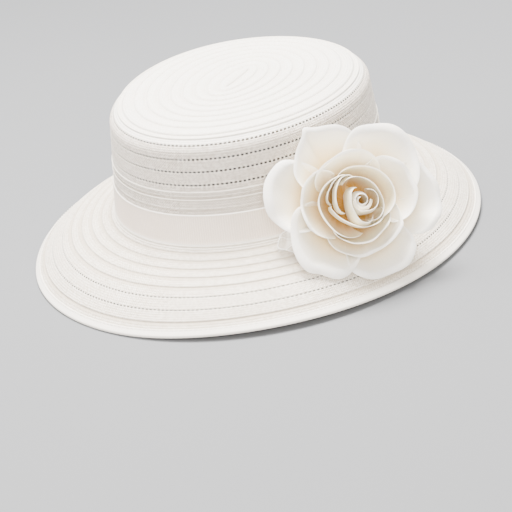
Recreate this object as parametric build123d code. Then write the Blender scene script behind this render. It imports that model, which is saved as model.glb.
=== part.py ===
"""Woman's oval dress hat of sewn straw-cloth braid: flat-topped crown, turned-down brim, ribbon band, and a fabric
rose with its leaf, calyx and stem.

Millimetres. +Z is up, the wearer faces -Y, and the wearer's left is +X. The origin is under the middle of the crown,
on the plane that the brim's edge rests on. Every part that goes round the head is an oval, given by how far it stands
out from the headline oval, where crown and brim meet."""

from build123d import *
import math
import os

# Driving dimensions of the hat body
HEAD_HALF_WIDTH = 87.0  # headline oval, outside of the crown, side to side
HEAD_HALF_LENGTH = 101.4  # the same, front to back
HEADLINE_Z = 36.2  # height of the headline above the brim's resting plane
BRAID = 0.9  # thickness of the sewn braid
GAP = 0.12  # between pieces that touch in the real hat

# Profiles are (distance out from the headline oval, height above the headline)
WALL_TOP = (-5.3, 59.8)
WALL = [(0.0, 0.4), (-1.2, 14.0), (-2.4, 27.5), (-3.5, 40.5), (-4.5, 51.0), WALL_TOP]
TIP = [(-5.32, 59.95), (-6.3, 62.0), (-8.5, 64.4), (-12.0, 67.0), (-16.5, 69.0), (-21.5, 70.1), (-30.0, 70.9),
       (-41.5, 71.5), (-57.5, 72.0), (-73.5, 72.4), (-84.0, 72.5)]
BRIM = [(0.0, 0.0), (3.0, -2.6), (12.0, -5.9), (20.0, -8.5), (28.0, -11.5), (36.0, -15.4), (43.2, -20.2),
        (49.4, -25.5), (54.6, -30.6), (57.5, -33.9)]

# Ribbons, wire and binding
BAND_LOW, BAND_HIGH, BAND_THICK = 1.2, 20.2, 0.5
SWEATBAND_LOW, SWEATBAND_HIGH, SWEATBAND_THICK = 1.0, 25.0, 0.6
TAB_LENGTH = 26.0  # ribbon tab that covers the band's join
WIRE_R = 0.6
JOINER_R, JOINER_LENGTH = 0.85, 12.0  # ferrule over the wire's two ends, at the back
WIRE_ENDS_APART = 0.6
BINDING_THICK = 0.5
BINDING_WIDTH = 5.5

# Rose: where its petals' rims centre, and which way it faces
ROSE_CENTRE = (105.0, -61.0, HEADLINE_Z + 19.5)
ROSE_AZIMUTH, ROSE_ELEVATION = 43.0, 26.0
BACKING_DEGREES, BACKING_Z, BACKING_R, BACKING_THICK = 67.0, 11.5, 13.0, 1.2

# Petals are parts of thin bowls, one inside the other. Lengths are along and out from the stem
PETAL = 0.4  # thickness of the petal fabric
STACK = 0.62  # from one petal's foot to the next along the stem
FOOT_R = 2.2  # inside edge of each foot, round the stem
FIRST_FOOT = -7.6
RIM_STEP = 0.75  # how much wider each rim is than the one inside it in its row
RIM_DROP = 0.35  # how much lower it is
# Row: petals, share of a turn that each covers, direction of the first, rim radius, rim height
ROWS = {
    "heart": (2, 0.62, 20.0, 8.6, 22.5),
    "inner": (3, 0.46, 80.0, 15.0, 22.0),
    "cup": (4, 0.38, 230.0, 24.5, 18.5),
    "middle": (4, 0.36, 285.0, 34.0, 12.5),
    "outer": (6, 0.28, 300.0, 47.5, 4.0),
}
LOBED_ROWS = ("middle", "outer")  # their petals are trimmed to round lobes
LOBE_SHARE = 0.62  # radius of a lobe, as a share of its petal's rim radius
WIDEST_RIM = 52.0
# The two inner points of a petal's section, as shares of its rim's radius and of its height. Each has the share
# in an upright petal and what a fully open one adds
SECTION = [((0.62, -0.24), (0.02, 0.15)), ((0.95, -0.24), (0.42, 0.13))]
SECTION_STEPS = 8

BUD_R, BUD_END_R, BUD_LOW, BUD_HIGH = 5.2, 2.7, -5.0, 21.0
STEM_R, STEM_TOP, STEM_BEND = 1.2, -5.6, -35.5
CALYX_R, CALYX_NECK_R, CALYX_LOW = 9.0, 2.6, -29.5
CALYX_SIDE_R, CALYX_SIDE_DROP = 7.2, 3.5  # where the calyx's upright rim turns in towards its neck
LEAF_WIDTH, LEAF_THICK, LEAF_LIFT = 24.0, 0.4, 0.5
LEAF_FOOT, LEAF_TIP = (93.0, -51.0), (64.0, -91.0)  # seen from above

os.makedirs("parts", exist_ok=True)


def oval(out, z):
    """The oval edge that stands out from the headline oval by that much, at a height above the headline."""
    plane = Plane(origin=(0, 0, HEADLINE_Z + z), x_dir=(0, 1, 0), z_dir=(0, 0, 1))
    return Edge.make_ellipse(HEAD_HALF_LENGTH + out, HEAD_HALF_WIDTH + out, plane)


def strips(section):
    """The ruled strips between each pair of neighbouring points of a section."""
    edges = [oval(out, z) for out, z in section]
    return [Face.make_surface_from_curves(a, b) for a, b in zip(edges, edges[1:])]


def oval_ring(section):
    """A ring round the hat whose cross-section is that closed outline."""
    return Solid(Shell(strips(section + section[:1])))


def oval_dish(outer, inner):
    """A closed-topped shell: both profiles run from the rim to the top, where flat ovals close them."""
    caps = [Face(Wire([oval(*profile[-1])])) for profile in (outer, inner)]
    rim = strips([outer[0], inner[0]])
    return Solid(Shell(strips(outer) + strips(inner) + caps + rim))


def moved_in(profile, depth, level_ends=False):
    """A profile that starts at the hat's rim side, moved at right angles to itself to its right-hand side by depth.
    With level_ends, the two end points move level, so that the ends are cut level."""
    moved = []
    last = len(profile) - 1
    for i, (out, z) in enumerate(profile):
        before, after = profile[max(i - 1, 0)], profile[min(i + 1, last)]
        run, rise = after[0] - before[0], after[1] - before[1]
        size = math.hypot(run, rise)
        if level_ends and i in (0, last):
            moved.append((out - depth, z))
        else:
            moved.append((out - depth * rise / size, z + depth * run / size))
    return moved


def level_ring(profile, start, end):
    """A ring round the crown, from a rising profile, between two depths to its inside."""
    return oval_ring(moved_in(profile, start, True) + moved_in(profile, end, True)[::-1])


def cut_wall(low, high):
    """The part of the wall's profile between two heights."""

    def at(z):
        (out_a, z_a), (out_b, z_b) = next(pair for pair in zip(WALL, WALL[1:]) if pair[0][1] <= z <= pair[1][1])
        return (out_a + (out_b - out_a) * (z - z_a) / (z_b - z_a), z)

    return [at(low)] + [p for p in WALL if low < p[1] < high] + [at(high)]


def crown_wall():
    return level_ring(WALL, 0.0, BRAID)


def crown_tip():
    inner = moved_in(TIP, BRAID)
    inner[0] = (TIP[0][0] - BRAID, TIP[0][1])
    return oval_dish(TIP, inner)


def brim():
    return oval_ring(BRIM + moved_in(BRIM, -BRAID)[::-1])


def on_edge(along_mm, across_mm):
    """A point by its distance past the brim's edge and its height above the middle of the braid there."""
    (out_a, z_a), (out_b, z_b) = BRIM[-2:]
    size = math.hypot(out_b - out_a, z_b - z_a)
    run, rise = (out_b - out_a) / size, (z_b - z_a) / size
    up = across_mm - BRAID / 2
    return (out_b + along_mm * run - up * rise, z_b + along_mm * rise + up * run)


def edge_round(radius, sides=12):
    """A round bar that runs round the brim just past its edge, where the wire lies."""
    turns = [2 * math.pi * i / sides for i in range(sides)]
    return oval_ring([on_edge(JOINER_R + GAP + radius * math.cos(t), radius * math.sin(t)) for t in turns])


def at_back(length):
    """A block across the middle of the back, to cut or keep a length of what goes round the edge."""
    return Pos(0, HEAD_HALF_LENGTH + BRIM[-1][0], HEADLINE_Z + BRIM[-1][1]) * Box(length, 30, 30)


def brim_edge_wire():
    return edge_round(WIRE_R) - at_back(WIRE_ENDS_APART)


def wire_joiner():
    return (edge_round(JOINER_R) - edge_round(WIRE_R + GAP / 4)) & at_back(JOINER_LENGTH)


def brim_edge_binding():
    """A strip folded over the edge and its wire: open towards the crown, round at the outside, pressed flat below."""
    wire_end = 2 * JOINER_R + 2 * GAP
    half_in = JOINER_R + GAP
    back = wire_end - BINDING_WIDTH

    def fold(half, reach):
        """One face of the fold, from its lower end round the nose to its upper end."""
        bends = [math.radians(step) for step in range(-90, 91, 30)]
        nose = [(reach - half + half * math.cos(a), half * math.sin(a)) for a in bends]
        return [on_edge(*p) for p in [(back, -half), *nose, (back, half)]]

    outer = fold(half_in + BINDING_THICK, wire_end + BINDING_THICK)
    below_table = Pos(0, 0, -5) * Box(4 * HEAD_HALF_LENGTH, 4 * HEAD_HALF_LENGTH, 10)
    return oval_ring(outer + fold(half_in, wire_end)[::-1]) - below_table


def hat_band():
    return level_ring(cut_wall(BAND_LOW, BAND_HIGH), -GAP - BAND_THICK, -GAP)


def sweatband():
    near = BRAID + GAP
    return level_ring(cut_wall(SWEATBAND_LOW, SWEATBAND_HIGH), near, near + SWEATBAND_THICK)


def backing_plane(z):
    """The plane that touches the crown where the rose is sewn on: x is up and z looks outwards."""
    angle = math.radians(BACKING_DEGREES)
    x, y = math.sin(angle), -math.cos(angle)
    reach = 1 / math.hypot(x / HEAD_HALF_WIDTH, y / HEAD_HALF_LENGTH)
    outward = (x / HEAD_HALF_WIDTH**2, y / HEAD_HALF_LENGTH**2, 0)
    return Plane(origin=(x * reach, y * reach, HEADLINE_Z + z), x_dir=(0, 0, 1), z_dir=outward)


def pressed_patch(near, thick, outline, z):
    """A patch that follows the crown's side, cut to an outline that looks straight at it."""
    ring = level_ring(WALL[:3], -near - thick, -near)
    return ring & extrude(backing_plane(z) * outline, BACKING_R, both=True)


def band_join_tab():
    """The band's own end, folded over the join."""
    outline = Rectangle(BAND_HIGH - BAND_LOW, TAB_LENGTH)
    return pressed_patch(2 * GAP + BAND_THICK, BAND_THICK, outline, (BAND_LOW + BAND_HIGH) / 2)


def rose_backing():
    """Felt disc that carries the rose, sewn to the band."""
    return pressed_patch(3 * GAP + 2 * BAND_THICK, BACKING_THICK, Circle(BACKING_R), BACKING_Z)


def rose_plane():
    azimuth, elevation = math.radians(ROSE_AZIMUTH), math.radians(ROSE_ELEVATION)
    level = math.cos(elevation)
    facing = (math.sin(azimuth) * level, -math.cos(azimuth) * level, math.sin(elevation))
    return Plane(origin=ROSE_CENTRE, x_dir=(math.cos(azimuth), math.sin(azimuth), 0), z_dir=facing)


def petal_face(foot_z, rim_r, rim_z):
    """A petal's cross-section: out from its foot over the petals below, then up, with the rim leaning out."""
    height, openness = rim_z - foot_z, rim_r / WIDEST_RIM
    shape = [(FOOT_R, foot_z)]
    for (r, r_open), (z, z_open) in SECTION:
        shape.append((rim_r * (r + r_open * openness), foot_z + height * (z + z_open * openness)))
    curve = Spline([*shape, (rim_r, rim_z)])
    sides = {side: [] for side in (-PETAL / 2, PETAL / 2)}
    for i in range(SECTION_STEPS + 1):
        point, tangent = curve @ (i / SECTION_STEPS), curve % (i / SECTION_STEPS)
        for side, points in sides.items():
            points.append(point + Vector(tangent.Y, -tangent.X) * side)
    low, high = sides.values()
    return make_face([Spline(low), Line(low[-1], high[-1]), Spline(high[::-1]), Line(high[0], low[0])])


def petal(order, rim_r, rim_z, direction, share, lobed):
    bowl = revolve(Plane.XZ * petal_face(FIRST_FOOT - order * STACK, rim_r, rim_z), Axis.Z, 360 * share)
    piece = Rot(0, 0, -180 * share) * bowl
    if lobed:
        lobe_r = rim_r * LOBE_SHARE
        piece = piece & (Pos(rim_r - lobe_r + PETAL, 0, 0) * Cylinder(lobe_r, 2 * WIDEST_RIM))
    return Rot(0, 0, direction) * piece


def rose_petals():
    """Every petal by name, in the rose's own frame, from the middle outwards."""
    petals = {}
    for row, (count, share, first, row_r, row_z) in ROWS.items():
        for i in range(count):
            rim_r, rim_z, direction = row_r + i * RIM_STEP, row_z - i * RIM_DROP, first - 360 * i / count
            shape = petal(len(petals), rim_r, rim_z, direction, share, row in LOBED_ROWS)
            petals[f"rose_petal_{row}_{i + 1}"] = shape
    return petals


def rose_bud():
    """The rolled middle of the rose."""
    low, high = (BUD_END_R, BUD_LOW), (BUD_END_R, BUD_HIGH)
    side = Spline(low, (BUD_R, (BUD_LOW + BUD_HIGH) / 2), high)
    ends_and_axis = Polyline(high, (0, BUD_HIGH), (0, BUD_LOW), low)
    return revolve(Plane.XZ * make_face([side, ends_and_axis]), Axis.Z)


def rose_calyx(petal_count):
    top = FIRST_FOOT - petal_count * STACK - GAP
    bore = STEM_R + GAP
    side = (CALYX_SIDE_R, top - CALYX_SIDE_DROP)
    outline = [(bore, top), (CALYX_R, top), side, (CALYX_NECK_R, CALYX_LOW), (bore, CALYX_LOW)]
    return revolve(Plane.XZ * make_face(Polyline(*outline, close=True)), Axis.Z)


def rose_stem(rose):
    """Covered wire from under the bud, through the petals and calyx, bent to meet the backing."""
    backing = backing_plane(BACKING_Z)
    reach = 3 * GAP + 2 * BAND_THICK + BACKING_THICK + STEM_R
    path = FilletPolyline(rose.from_local_coords((0, 0, STEM_TOP)), rose.from_local_coords((0, 0, STEM_BEND)),
                          backing.from_local_coords((0, 0, reach)), radius=3 * STEM_R)
    return sweep(Plane(origin=path @ 0, z_dir=path % 0) * Circle(STEM_R), path)


def rose_leaf():
    """Stiffened sheer leaf that lies on the brim under the rose."""
    along = Vector(*LEAF_TIP) - Vector(*LEAF_FOOT)
    sides = [ThreePointArc((0, 0), (along.length / 2, side * LEAF_WIDTH / 2), (along.length, 0)) for side in (1, -1)]
    outline = Plane(origin=(*LEAF_FOOT, 0), x_dir=along, z_dir=(0, 0, 1)) * make_face(sides)
    above_brim = oval_ring(moved_in(BRIM, LEAF_LIFT) + moved_in(BRIM, LEAF_LIFT + LEAF_THICK)[::-1])
    return above_brim & extrude(outline, 2 * HEADLINE_Z)


def main():
    nodes = {
        "crown_tip": crown_tip(),
        "crown_wall": crown_wall(),
        "brim": brim(),
        "brim_edge_wire": brim_edge_wire(),
        "wire_joiner": wire_joiner(),
        "brim_edge_binding": brim_edge_binding(),
        "hat_band": hat_band(),
        "band_join_tab": band_join_tab(),
        "sweatband": sweatband(),
        "rose_backing": rose_backing(),
        "rose_stem": rose_stem(rose_plane()),
        "rose_leaf": rose_leaf(),
    }
    petals = rose_petals()
    in_rose_frame = {"rose_bud": rose_bud(), "rose_calyx": rose_calyx(len(petals)), **petals}
    nodes.update({name: rose_plane().location * shape for name, shape in in_rose_frame.items()})
    for name, shape in nodes.items():
        export_step(shape, f"parts/{name}.step")


main()
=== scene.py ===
"""Looks of a woman's dress hat: sewn braid rounds with open-work rows, grosgrain ribbons, a bound edge, and a
cloth rose with its leaf.

Lengths are millimetres until a mesh is made. +Z is up, the wearer faces -Y and +X is the wearer's left."""
import math

import bpy
import numpy as np
from mathutils import Matrix, Vector


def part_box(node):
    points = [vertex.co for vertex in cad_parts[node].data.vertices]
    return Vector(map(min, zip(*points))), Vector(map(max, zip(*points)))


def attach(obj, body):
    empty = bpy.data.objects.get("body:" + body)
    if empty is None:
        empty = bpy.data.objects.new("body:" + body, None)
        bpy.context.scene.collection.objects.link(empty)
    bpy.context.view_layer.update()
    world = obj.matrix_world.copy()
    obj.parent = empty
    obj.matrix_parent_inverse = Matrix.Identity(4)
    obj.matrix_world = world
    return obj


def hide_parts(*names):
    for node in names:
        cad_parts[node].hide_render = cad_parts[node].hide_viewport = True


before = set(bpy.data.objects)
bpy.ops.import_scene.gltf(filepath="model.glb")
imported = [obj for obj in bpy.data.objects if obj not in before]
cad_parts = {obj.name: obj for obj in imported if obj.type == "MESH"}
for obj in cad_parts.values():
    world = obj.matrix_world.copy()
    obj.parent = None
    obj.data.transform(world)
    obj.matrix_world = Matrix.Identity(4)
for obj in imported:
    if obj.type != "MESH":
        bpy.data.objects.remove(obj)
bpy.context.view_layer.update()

MM = 0.001

# The headline oval, where crown and brim meet: the crown wall's lowest edge stands a little above it
WALL_FOOT = 0.4
WALL_LOW, WALL_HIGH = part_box("crown_wall")
HALF_WIDTH = (WALL_HIGH.x - WALL_LOW.x) / 2 / MM
HALF_LENGTH = (WALL_HIGH.y - WALL_LOW.y) / 2 / MM
HEADLINE = WALL_LOW.z / MM - WALL_FOOT

# Outer faces of tip, wall and brim, each from the crown's middle outwards: (out from the headline oval, height
# above it)
TIP = [(-87.8, 72.5), (-73.5, 72.4), (-57.5, 72.0), (-41.5, 71.5), (-30.0, 70.9), (-21.5, 70.1),
       (-16.5, 69.0), (-12.0, 67.0), (-8.5, 64.4), (-6.3, 62.0), (-5.3, 60.0)]
WALL = [(-5.3, 59.8), (-4.5, 51.0), (-3.5, 40.5), (-2.4, 27.5), (-1.2, 14.0), (0.0, WALL_FOOT)]
BRIM = [(0.0, 0.0), (3.0, -2.6), (12.0, -5.9), (20.0, -8.5), (28.0, -11.5), (36.0, -15.4), (43.2, -20.2),
        (49.4, -25.5), (54.6, -30.6), (57.5, -33.9)]

# Braid
BRAID_THICK = 0.55
CORD_WIDTH = 1.6  # the braid is five flat cords wide
CORD_RELIEF = 0.2
TUCK = 2.4  # how far a round reaches under the one before it
WALL_GAP, BRIM_GAP = 1.2, 0.8  # between two rounds joined by open-work
OPEN_PITCH = 2.8
RING_STEPS = 288

# Where rounds end: from the tip's edge inwards, and from the tops of wall and brim down. OPEN lists the rows of
# open-work
TIP_ROUNDS = [4.8 + 8.0 * i for i in range(11)]
TIP_OPEN = [10]
WALL_ROUNDS = [4.0, 12.1, 20.6, 28.6, 36.6, 44.6, 52.4]
WALL_OPEN = [0, 1, 2]
BRIM_ROUNDS = [5.0, 12.0, 19.5, 27.0, 35.0, 43.0, 52.0, 60.0]
BRIM_OPEN = [5, 6]
TIP_PIPING, WALL_PIPING = 9.6, (25.2, 30.2)  # raised cords, from the tip's edge and from the wall's top
STITCH_PITCH, STITCH_LONG, STITCH_R = 3.1, 2.5, 0.17
STITCH_BACK = 0.8  # a stitched line runs this far before its round's end
OPEN_BAR_R = 0.32
# The bars of one open-work bundle: where each starts and ends, in shares of the bundle's width
OPEN_BARS = ((-0.28, 0.27), (0.28, -0.27), (-0.1, 0.1), (0.12, -0.12))

# Ribbons, as heights above the headline
BAND_LOW, BAND_HIGH = 0.3, 20.2
BAND_NEAR, BAND_THICK = 0.2, 0.45
RIB_PITCH, RIB_RELIEF = 1.5, 0.2
SELVEDGE = 0.8
SWEATBAND_LOW, SWEATBAND_HIGH, SWEATBAND_NEAR, SWEATBAND_THICK = 1.0, 25.0, 1.35, 0.4
ROSE_SIDE = math.radians(67.0)  # direction of the rose's seat from the front
TAB_LENGTH = 26.0
LAYER_GAP = 0.25  # between the ribbon and its folded end

# Edge binding
BINDING_REACH, BINDING_WIDTH, BINDING_HALF = 2.3, 5.5, 1.4

# Wire inside the edge fold
WIRE_R, WIRE_ALONG = 0.6, 0.97
WIRE_END_GAP = 0.5  # from the wire's end to the middle of its joiner
JOINER_R, JOINER_LENGTH, JOINER_PLAY = 0.85, 12.0, 0.03

# Rose: x and y lie in the plane of its outer petals' rims, z is the way it faces
ROSE_AZIMUTH, ROSE_ELEVATION = math.radians(43.0), math.radians(26.0)
ROSE_CENTRE = (105.0, -61.0, HEADLINE + 19.5)

# Bud: a wound strip
BUD_TURNS, BUD_START = 1.7, math.radians(100)
BUD_STEPS, BUD_ROWS = 110, 25
BUD_R, BUD_WIDENING = 3.0, 5.0  # radius at the strip's inner end, and what it gains by its outer end
BUD_LOW, BUD_HIGH, BUD_CLIMB, BUD_WAVE = -5.0, 17.5, 1.2, 0.7
BUD_FOOT, BUD_BELLY, BUD_MOUTH = 0.55, 0.45, 0.4  # of the radius: at the foot, added above, lost at the top

# Calyx: a cup that opens into sepals
CALYX_LOW, CALYX_HIGH, CALYX_NECK_R, CALYX_THICK = -29.0, -19.8, 2.6, 0.5
CALYX_REACH, SEPAL_REACH, SEPAL_DROOP, SEPALS = 7.5, 13.0, 1.2, 5
CALYX_STEPS, CALYX_ROWS = 100, 20

# Felt pad: (share of its radius, height off its back), from the back's middle round the edge to the face's
FELT = [(0.02, 0.0), (0.6, 0.0), (0.97, 0.0), (1.0, 0.4), (0.99, 0.9), (0.93, 1.15), (0.6, 1.2), (0.3, 1.22),
        (0.02, 1.22)]
FELT_CLEAR, FELT_STEPS, FELT_ROUGH = 0.6, 72, 0.012

# Leaf, seen from above
LEAF_FOOT, LEAF_TIP, LEAF_HALF = (93.0, -51.0), (64.0, -91.0), 14.0
LEAF_THICK, LEAF_LIFT, LEAF_EDGE_LIFT, LEAF_FOOT_LIFT = 0.15, 2.6, 2.4, 2.2
LEAF_CLEAR = 2.2  # how far it stays out from the headline oval, clear of the ribbon
LEAF_COLUMNS, LEAF_ROWS = 25, 41
VEIN_STARTS, VEIN_RISE, VEIN_POINTS = (0.2, 0.36, 0.52, 0.68), 0.22, 9
LEAF_RIM_R, VEIN_R = 0.5, 0.34


# -------- curves and grids

def smooth_line(points, per_span=12):
    """Points along a smooth line through the given ones."""
    p = np.array(points, float)
    p = np.vstack([2 * p[0] - p[1], p, 2 * p[-1] - p[-2]])
    t = np.linspace(0, 1, per_span, endpoint=False)[:, None]
    spans = []
    for a, b, c, d in zip(p, p[1:], p[2:], p[3:]):
        spans.append(b + 0.5 * t * (c - a + t * (2 * a - 5 * b + 4 * c - d + t * (3 * (b - c) + d - a))))
    return np.vstack([*spans, p[-2]])


def stack(*parts):
    """Points or texture coordinates from arrays of each coordinate."""
    return np.stack(np.broadcast_arrays(*parts), axis=-1)


class Profile:
    """A section line of the hat. A place on it is its distance along and its height off the outer face."""

    def __init__(self, points):
        self.line = smooth_line(points)
        steps = np.diff(self.line, axis=0)
        self.along = np.concatenate([[0], np.cumsum(np.hypot(*steps.T))])
        turn = np.gradient(self.line, self.along, axis=0)
        self.out = np.stack([-turn[:, 1], turn[:, 0]], axis=1) / np.hypot(*turn.T)[:, None]
        self.length = self.along[-1]

    def at(self, along, off):
        """(out, height) for distances along and heights off the face. It runs straight on past both ends."""
        along = np.asarray(along, float)
        held = np.clip(along, 0, self.length)
        place = np.stack([np.interp(held, self.along, self.line[:, k]) for k in (0, 1)], axis=-1)
        out = np.stack([np.interp(held, self.along, self.out[:, k]) for k in (0, 1)], axis=-1)
        tangent = np.stack([out[..., 1], -out[..., 0]], axis=-1)
        return place + out * np.asarray(off, float)[..., None] + tangent * (along - held)[..., None]


def edge_lift(angle):
    """How far the brim's edge is bent up by hand, in each direction."""
    wave = 1.7 - 0.7 * np.cos(angle) + np.sin(angle) - 0.4 * np.cos(2 * angle) + 0.35 * np.sin(2 * angle)
    wave = wave + 1.6 * np.sin(3 * angle)
    return (wave + np.sqrt(wave ** 2 + 1)) / 2


def crown_lean(angle):
    """How far the crown's upper edge was blocked out of level, in each direction."""
    return 0.6 - 1.3 * np.sin(angle) - 0.85 * np.cos(2 * angle) + 0.8 * np.sin(2 * angle)


def oval(angle, place):
    """Points in the row frame, from angles round the hat and (out, height). The angle is 0 in front and grows
    towards the wearer's left."""
    out, height = place[..., 0], place[..., 1]
    share = np.clip(1 + out / HALF_WIDTH, 0, 1) * (np.clip(height, 0, None) / TIP[0][1]) ** 2
    height = height + crown_lean(angle) * share
    height = height + edge_lift(angle) * (np.clip(out, 0, None) / BRIM[-1][0]) ** 2
    x = np.maximum(HALF_WIDTH + out, 0.05) * np.sin(angle)
    y = -(HALF_LENGTH + out) * np.cos(angle)
    return stack(x, y, HEADLINE + height)


def even_angles(out, count, start=0.0, stop=2 * math.pi):
    """Angles that divide an oval into steps of equal length, and its length."""
    fine = np.linspace(start, stop, 4001)
    points = oval(fine, np.stack([np.full_like(fine, out), np.zeros_like(fine)], axis=-1))
    along = np.concatenate([[0], np.cumsum(np.linalg.norm(np.diff(points, axis=0), axis=1))])
    return np.interp(np.linspace(0, along[-1], count + 1), along, fine), along[-1]


class Mesh:
    """Collects grids of points, each with its own texture coordinates, and makes one piece of them."""

    def __init__(self):
        self.points, self.quads, self.uvs, self.count = [], [], [], 0

    def grid(self, points, uv, close_rows=False, close_columns=False):
        """points is rows by columns by 3. A closed direction joins its last line to its first."""
        rows, columns = points.shape[:2]
        index = np.arange(rows * columns).reshape(rows, columns) + self.count
        if close_rows:
            index = np.vstack([index, index[:1]])
        if close_columns:
            index = np.hstack([index, index[:, :1]])
        corners = [index[:-1, :-1], index[:-1, 1:], index[1:, 1:], index[1:, :-1]]
        self.quads.append(np.stack(corners, axis=-1).reshape(-1, 4))
        spots = [uv[:-1, :-1], uv[:-1, 1:], uv[1:, 1:], uv[1:, :-1]]
        self.uvs.append(np.stack(spots, axis=2).reshape(-1, 2))
        self.points.append(points.reshape(-1, 3))
        self.count += rows * columns

    def cap(self, columns, rows_back=0):
        """Closes the last grid's last row, or an earlier one: a section whose two halves face each other."""
        first = self.count - (rows_back + 1) * columns
        i = np.arange(columns // 2 - 1)
        quads = first + np.stack([i, i + 1, columns - 2 - i, columns - 1 - i], axis=-1)
        self.quads.append(quads[:, ::-1] if rows_back else quads)
        self.uvs.append(np.zeros((quads.size, 2)))

    def piece(self, name, material):
        mesh = bpy.data.meshes.new(name)
        points, quads, uvs = (np.vstack(x) for x in (self.points, self.quads, self.uvs))
        mesh.vertices.add(len(points))
        mesh.vertices.foreach_set("co", (points * MM).astype(np.float32).ravel())
        mesh.loops.add(quads.size)
        mesh.loops.foreach_set("vertex_index", quads.astype(np.int32).ravel())
        mesh.polygons.add(len(quads))
        mesh.polygons.foreach_set("loop_start", np.arange(0, quads.size, 4, dtype=np.int32))
        mesh.polygons.foreach_set("use_smooth", np.ones(len(quads), bool))
        mesh.uv_layers.new(name="weave").data.foreach_set("uv", uvs.astype(np.float32).ravel())
        mesh.update(calc_edges=True)
        mesh.validate()
        mesh.materials.append(material)
        made = bpy.data.objects.new(name, mesh)
        bpy.context.scene.collection.objects.link(made)
        return made


def uv_grid(u, v):
    """Texture coordinates for a grid, in units of 10 mm."""
    return np.stack(np.meshgrid(np.asarray(u), np.asarray(v), indexing="ij"), axis=-1) / 10


def ring(mesh, profile, section, angles, length, closed=True, across=None):
    """Sweeps a closed section, rows of (along, off), round the hat. section may be a function of the step's
    number."""
    sections = [np.array(section(i) if callable(section) else section) for i in range(len(angles) - closed)]
    rows = [oval(angles[i], profile.at(*s.T)) for i, s in enumerate(sections)]
    outline = sections[0]
    if across is None:
        sides = np.diff(np.vstack([outline, outline[:1]]), axis=0)
        across = np.concatenate([[0], np.cumsum(np.hypot(*sides.T))])
    mesh.grid(np.array(rows), uv_grid(np.linspace(0, length, len(angles)), across), closed, True)
    if not closed:
        mesh.cap(len(outline))
        mesh.cap(len(outline), len(rows) - 1)


BAR_TAPER = [(0.0, 0.15), (0.08, 0.8), (0.5, 1.0), (0.92, 0.8), (1.0, 0.15)]  # (share along, share of radius)
BAR_SIDEWAYS = [0.3, 0.2, 0.93]  # no thread runs in this direction


def bar(mesh, a, b, radius, sides=5):
    """A round thread from a to b, drawn in almost to a point at its ends."""
    long = np.linalg.norm(b - a)
    axis = (b - a) / max(long, 1e-9)
    side = np.cross(axis, BAR_SIDEWAYS)
    side /= np.linalg.norm(side)
    other = np.cross(axis, side)
    turns = np.linspace(0, 2 * math.pi, sides, endpoint=False)
    rows = []
    for t, share in BAR_TAPER:
        centre = a + (b - a) * t
        rows.append([centre + radius * share * (side * math.cos(w) + other * math.sin(w)) for w in turns])
    uv = uv_grid([t * long for t, _ in BAR_TAPER], np.linspace(0, 3, sides + 1))
    mesh.grid(np.array(rows), uv, False, True)


# -------- materials

class Nodes:
    """A new material's node tree, with short ways to add nodes and to set what they need."""

    def __init__(self, name):
        self.material = bpy.data.materials.new(name)
        self.material.use_nodes = True
        self.tree = self.material.node_tree
        self.shader = next(n for n in self.tree.nodes if n.type == "BSDF_PRINCIPLED")

    def add(self, kind, _settings=None, **inputs):
        node = self.tree.nodes.new("ShaderNode" + kind)
        for key, value in (_settings or {}).items():
            setattr(node, key, value)
        for key, value in inputs.items():
            self.set(node, key.replace("_", " "), value)
        return node

    def set(self, node, socket, value):
        target = node.inputs[int(socket) if socket.isdigit() else socket]
        if isinstance(value, bpy.types.NodeSocket):
            self.tree.links.new(value, target)
        else:
            target.default_value = value

    def math(self, operation, a, b=0.0, c=0.0):
        node = self.add("Math", {"operation": operation})
        for i, value in enumerate((a, b, c)):
            self.set(node, str(i), value)
        return node.outputs[0]

    def mix(self, share, a, b):
        node = self.add("Mix", {"data_type": "RGBA"})
        for i, value in ((0, share), (6, a), (7, b)):
            self.set(node, str(i), value)
        return node.outputs[2]

    def noise(self, scale, detail=4.0, vector=None):
        node = self.add("TexNoise", Scale=scale, Detail=detail)
        self.set(node, "Vector", vector if vector is not None else self.add("TexCoord").outputs["Object"])
        return node.outputs["Fac"]

    def weave(self):
        """The texture coordinates along and across the cloth, in millimetres."""
        place = self.add("SeparateXYZ", Vector=self.add("UVMap", {"uv_map": "weave"}).outputs[0])
        return self.math("MULTIPLY", place.outputs[0], 10.0), self.math("MULTIPLY", place.outputs[1], 10.0)

    def wave(self, place, pitch, shift=0.0):
        """A smooth ridge every pitch millimetres, from 0 to 1."""
        angle = self.math("MULTIPLY_ADD", place, 2 * math.pi / pitch, shift)
        return self.math("MULTIPLY_ADD", self.math("SINE", angle), 0.5, 0.5)

    def rise(self, value, low, high):
        """0 at low, 1 at high, and a smooth step between them."""
        settings = {"interpolation_type": "SMOOTHSTEP"}
        return self.add("MapRange", settings, Value=value, From_Min=low, From_Max=high).outputs[0]

    def bump(self, height, distance, strength):
        return self.add("Bump", Strength=strength, Distance=distance * MM, Height=height).outputs[0]

    def finish(self, **inputs):
        for key, value in inputs.items():
            self.set(self.shader, key.replace("_", " "), value)
        return self.material


def colour(red, green, blue):
    return (red, green, blue, 1.0)


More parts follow.
